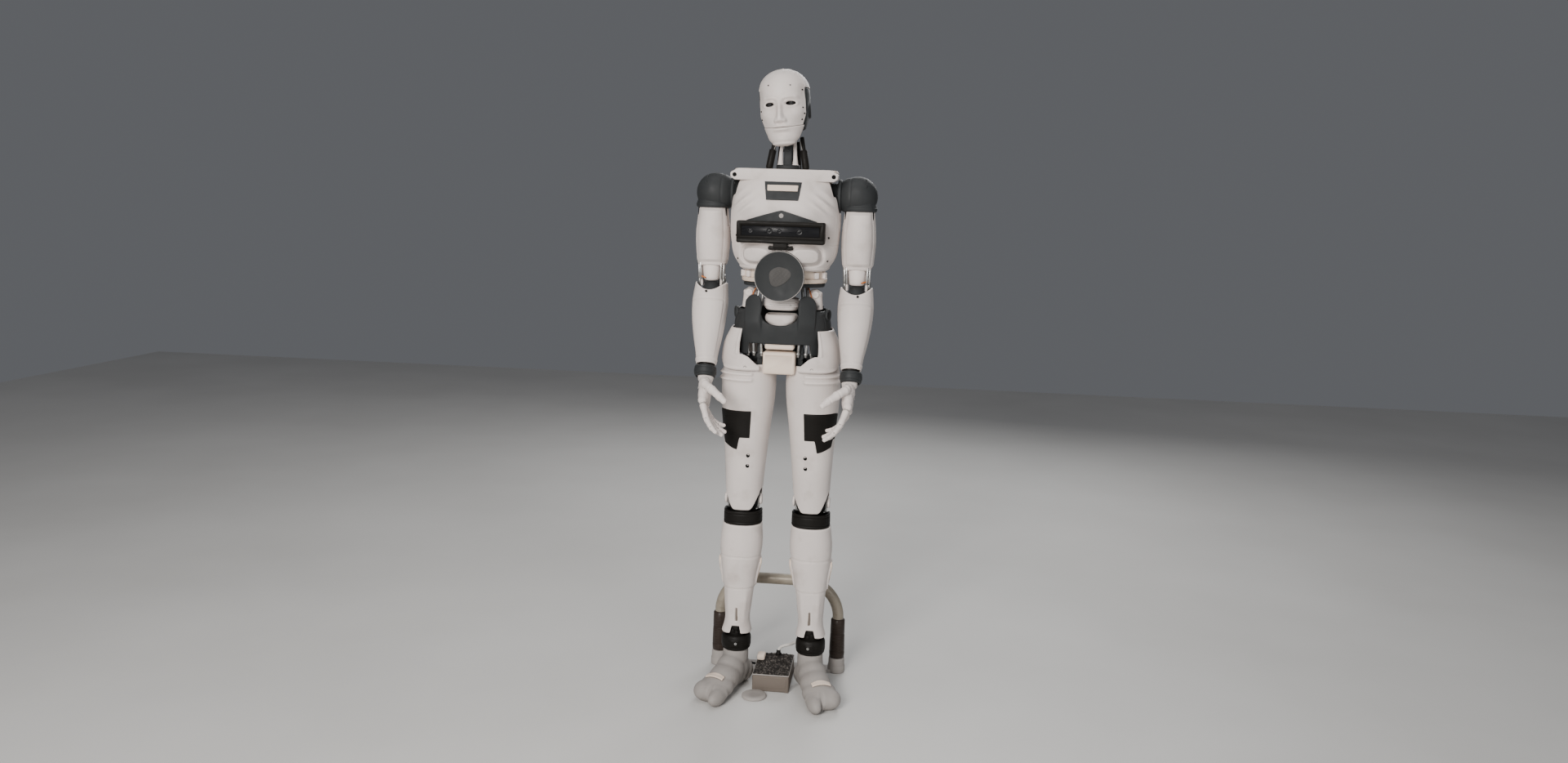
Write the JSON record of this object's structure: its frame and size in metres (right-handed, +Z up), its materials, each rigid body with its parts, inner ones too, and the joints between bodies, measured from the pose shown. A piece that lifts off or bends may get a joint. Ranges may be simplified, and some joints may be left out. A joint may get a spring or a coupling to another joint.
{
  "type": "humanoid robot kit",
  "caption": "Life-size printed humanoid robot kit standing on its feet, with a tube hoop behind the calves and a power case between the feet.",
  "frame": {"origin": "on the floor, at the centre of the flat patch under the power case, below the pelvis", "axes": "+Z up; the robot faces -Y; its own left side is +X"},
  "size_m": [0.516, 0.3851, 1.8004],
  "materials": {
    "white_print": "layered print, satin",
    "cream_print": "layered print, satin",
    "dark_print": "layered print, matte",
    "black_plastic": "gloss",
    "grey_print": "worn print",
    "hoop_tube": "satin paint",
    "steel": "brushed"
  },
  "bodies": {
    "stand": {"base_bar": "grey_print", "support_hoop": "hoop_tube", "hoop_sleeve_left": "black_plastic", "hoop_sleeve_right": "black_plastic", "power_case": "grey_print", "power_case_lid": "grey_print", "floor_pad": "grey_print", "power_cable": "white_print", "foot_left": "grey_print", "foot_right": "grey_print", "ankle_band_left": "black_plastic", "ankle_band_right": "black_plastic"},
    "pelvis": {"pelvis_belt": "dark_print", "hip_block": "steel", "crotch_cover": "cream_print"},
    "waist": {"waist_column": "white_print", "stomach_disc": "dark_print"},
    "torso": {"chest_shell": "white_print", "back_shell": "white_print", "waist_ring": "cream_print", "shoulder_yoke": "white_print", "depth_camera": "black_plastic"},
    "neck": {"neck_column": "dark_print"},
    "head": {"face_mask": "white_print", "skull_cap": "white_print", "head_back": "dark_print"},
    "jaw_body": {"jaw": "white_print"},
    "eyes": {"eye_pair": "white_print"},
    "shin_left": {"shin_shell_left": "white_print", "calf_shell_left": "white_print", "knee_band_left": "black_plastic"},
    "thigh_left": {"thigh_shell_left": "white_print", "thigh_panel_left": "black_plastic"},
    "hub_left": {"shoulder_hub_left": "dark_print"},
    "shoulder_left": {"shoulder_cap_left": "dark_print"},
    "arm_left": {"upper_arm_left": "white_print"},
    "lower_arm_left": {"forearm_left": "white_print"},
    "hand_left": {"wrist_cuff_left": "dark_print", "palm_left": "grey_print"},
    "thumb_left_body": {"thumb_left": "grey_print"},
    "index_finger_left_body": {"index_finger_left": "grey_print"},
    "middle_finger_left_body": {"middle_finger_left": "grey_print"},
    "ring_finger_left_body": {"ring_finger_left": "grey_print"},
    "little_finger_left_body": {"little_finger_left": "grey_print"},
    "shin_right": {"shin_shell_right": "white_print", "calf_shell_right": "white_print", "knee_band_right": "black_plastic"},
    "thigh_right": {"thigh_shell_right": "white_print", "thigh_panel_right": "black_plastic"},
    "hub_right": {"shoulder_hub_right": "dark_print"},
    "shoulder_right": {"shoulder_cap_right": "dark_print"},
    "arm_right": {"upper_arm_right": "white_print"},
    "lower_arm_right": {"forearm_right": "white_print"},
    "hand_right": {"wrist_cuff_right": "dark_print", "palm_right": "grey_print"},
    "thumb_right_body": {"thumb_right": "grey_print"},
    "index_finger_right_body": {"index_finger_right": "grey_print"},
    "middle_finger_right_body": {"middle_finger_right": "grey_print"},
    "ring_finger_right_body": {"ring_finger_right": "grey_print"},
    "little_finger_right_body": {"little_finger_right": "grey_print"}
  },
  "joints": [
    {"name": "ankle_left", "type": "hinge", "parent": "stand", "child": "shin_left", "pos_m": [0.112, 0, 0.136], "axis": [1, 0, 0], "range_deg": [0, 15]},
    {"name": "knee_left", "type": "hinge", "parent": "shin_left", "child": "thigh_left", "pos_m": [0.1, 0, 0.562], "axis": [-1, 0, 0], "range_deg": [0, 30]},
    {"name": "ankle_right", "type": "hinge", "parent": "stand", "child": "shin_right", "pos_m": [-0.112, 0, 0.136], "axis": [1, 0, 0], "range_deg": [0, 15]},
    {"name": "knee_right", "type": "hinge", "parent": "shin_right", "child": "thigh_right", "pos_m": [-0.1, 0, 0.562], "axis": [-1, 0, 0], "range_deg": [0, 30]},
    {"name": "hip_left", "type": "hinge", "parent": "thigh_left", "child": "pelvis", "pos_m": [0.092, 0, 1], "axis": [1, 0, 0], "range_deg": [-3, 12]},
    {"name": "waist_turn", "type": "hinge", "parent": "pelvis", "child": "waist", "pos_m": [0, 0, 1.146], "axis": [0, 0, 1], "range_deg": [-20, 20]},
    {"name": "waist_lean", "type": "hinge", "parent": "waist", "child": "torso", "pos_m": [0, 0, 1.242], "axis": [0, 1, 0], "range_deg": [-6, 6]},
    {"name": "neck_turn", "type": "hinge", "parent": "torso", "child": "neck", "pos_m": [0, 0.014, 1.533], "axis": [0, 0, 1], "range_deg": [-40, 40]},
    {"name": "head_nod", "type": "hinge", "parent": "neck", "child": "head", "pos_m": [0, 0.014, 1.647], "axis": [0.9907, -0.0867, 0.1045], "range_deg": [-12, 12]},
    {"name": "jaw_open", "type": "hinge", "parent": "head", "child": "jaw_body", "pos_m": [-0.00171, -0.00793, 1.64501], "axis": [0.9907, -0.0867, 0.1045], "range_deg": [0, 8]},
    {"name": "eyes_tilt", "type": "hinge", "parent": "head", "child": "eyes", "pos_m": [-0.01204, -0.06124, 1.69872], "axis": [0.9907, -0.0867, 0.1045], "range_deg": [-12, 12]},
    {"name": "shoulder_out_left", "type": "hinge", "parent": "torso", "child": "hub_left", "pos_m": [0.128, 0, 1.465], "axis": [0, -1, 0], "range_deg": [0, 20]},
    {"name": "shoulder_raise_left", "type": "hinge", "parent": "hub_left", "child": "shoulder_left", "pos_m": [0.202, 0, 1.465], "axis": [-1, 0, 0], "range_deg": [0, 110]},
    {"name": "arm_turn_left", "type": "hinge", "parent": "shoulder_left", "child": "arm_left", "pos_m": [0.208, 0, 1.423], "axis": [0, 0, 1], "range_deg": [-15, 30]},
    {"name": "elbow_left", "type": "hinge", "parent": "arm_left", "child": "lower_arm_left", "pos_m": [0.208, 0, 1.216], "axis": [1, 0, 0], "range_deg": [-65, 0]},
    {"name": "wrist_left", "type": "hinge", "parent": "lower_arm_left", "child": "hand_left", "pos_m": [0.202, -0.09775, 0.97939], "axis": [0, 0.3746, 0.9272], "range_deg": [-40, 40]},
    {"name": "index_finger_left_bend", "type": "hinge", "parent": "hand_left", "child": "index_finger_left_body", "pos_m": [0.202, -0.16979, 0.87584], "axis": [0, 0.9272, -0.3746], "range_deg": [-5, 35]},
    {"name": "middle_finger_left_bend", "type": "hinge", "parent": "hand_left", "child": "middle_finger_left_body", "pos_m": [0.202, -0.15144, 0.86788], "axis": [0, 0.9272, -0.3746], "range_deg": [-5, 35]},
    {"name": "ring_finger_left_bend", "type": "hinge", "parent": "hand_left", "child": "ring_finger_left_body", "pos_m": [0.202, -0.1327, 0.86085], "axis": [0, 0.9272, -0.3746], "range_deg": [-5, 35]},
    {"name": "little_finger_left_bend", "type": "hinge", "parent": "hand_left", "child": "little_finger_left_body", "pos_m": [0.202, -0.11471, 0.85466], "axis": [0, 0.9272, -0.3746], "range_deg": [-5, 35]},
    {"name": "thumb_left_bend", "type": "hinge", "parent": "hand_left", "child": "thumb_left_body", "pos_m": [0.196, -0.16363, 0.93914], "axis": [0, 0.9272, -0.3746], "range_deg": [-8, 20]},
    {"name": "shoulder_out_right", "type": "hinge", "parent": "torso", "child": "hub_right", "pos_m": [-0.128, 0, 1.465], "axis": [0, 1, 0], "range_deg": [0, 20]},
    {"name": "shoulder_raise_right", "type": "hinge", "parent": "hub_right", "child": "shoulder_right", "pos_m": [-0.202, 0, 1.465], "axis": [-1, 0, 0], "range_deg": [0, 110]},
    {"name": "arm_turn_right", "type": "hinge", "parent": "shoulder_right", "child": "arm_right", "pos_m": [-0.208, 0, 1.423], "axis": [0, 0, -1], "range_deg": [-15, 30]},
    {"name": "elbow_right", "type": "hinge", "parent": "arm_right", "child": "lower_arm_right", "pos_m": [-0.208, 0, 1.216], "axis": [1, 0, 0], "range_deg": [-65, 0]},
    {"name": "wrist_right", "type": "hinge", "parent": "lower_arm_right", "child": "hand_right", "pos_m": [-0.202, -0.09775, 0.97939], "axis": [0, -0.3746, -0.9272], "range_deg": [-40, 40]},
    {"name": "index_finger_right_bend", "type": "hinge", "parent": "hand_right", "child": "index_finger_right_body", "pos_m": [-0.202, -0.16979, 0.87584], "axis": [0, -0.9272, 0.3746], "range_deg": [-5, 35]},
    {"name": "middle_finger_right_bend", "type": "hinge", "parent": "hand_right", "child": "middle_finger_right_body", "pos_m": [-0.202, -0.15144, 0.86788], "axis": [0, -0.9272, 0.3746], "range_deg": [-5, 35]},
    {"name": "ring_finger_right_bend", "type": "hinge", "parent": "hand_right", "child": "ring_finger_right_body", "pos_m": [-0.202, -0.1327, 0.86085], "axis": [0, -0.9272, 0.3746], "range_deg": [-5, 35]},
    {"name": "little_finger_right_bend", "type": "hinge", "parent": "hand_right", "child": "little_finger_right_body", "pos_m": [-0.202, -0.11471, 0.85466], "axis": [0, -0.9272, 0.3746], "range_deg": [-5, 35]},
    {"name": "thumb_right_bend", "type": "hinge", "parent": "hand_right", "child": "thumb_right_body", "pos_m": [-0.196, -0.16363, 0.93914], "axis": [0, -0.9272, 0.3746], "range_deg": [-8, 20]}
  ],
  "couplings": [
    {"joint": "ankle_right", "follows": "ankle_left", "ratio": 1},
    {"joint": "knee_right", "follows": "knee_left", "ratio": 1}
  ]
}
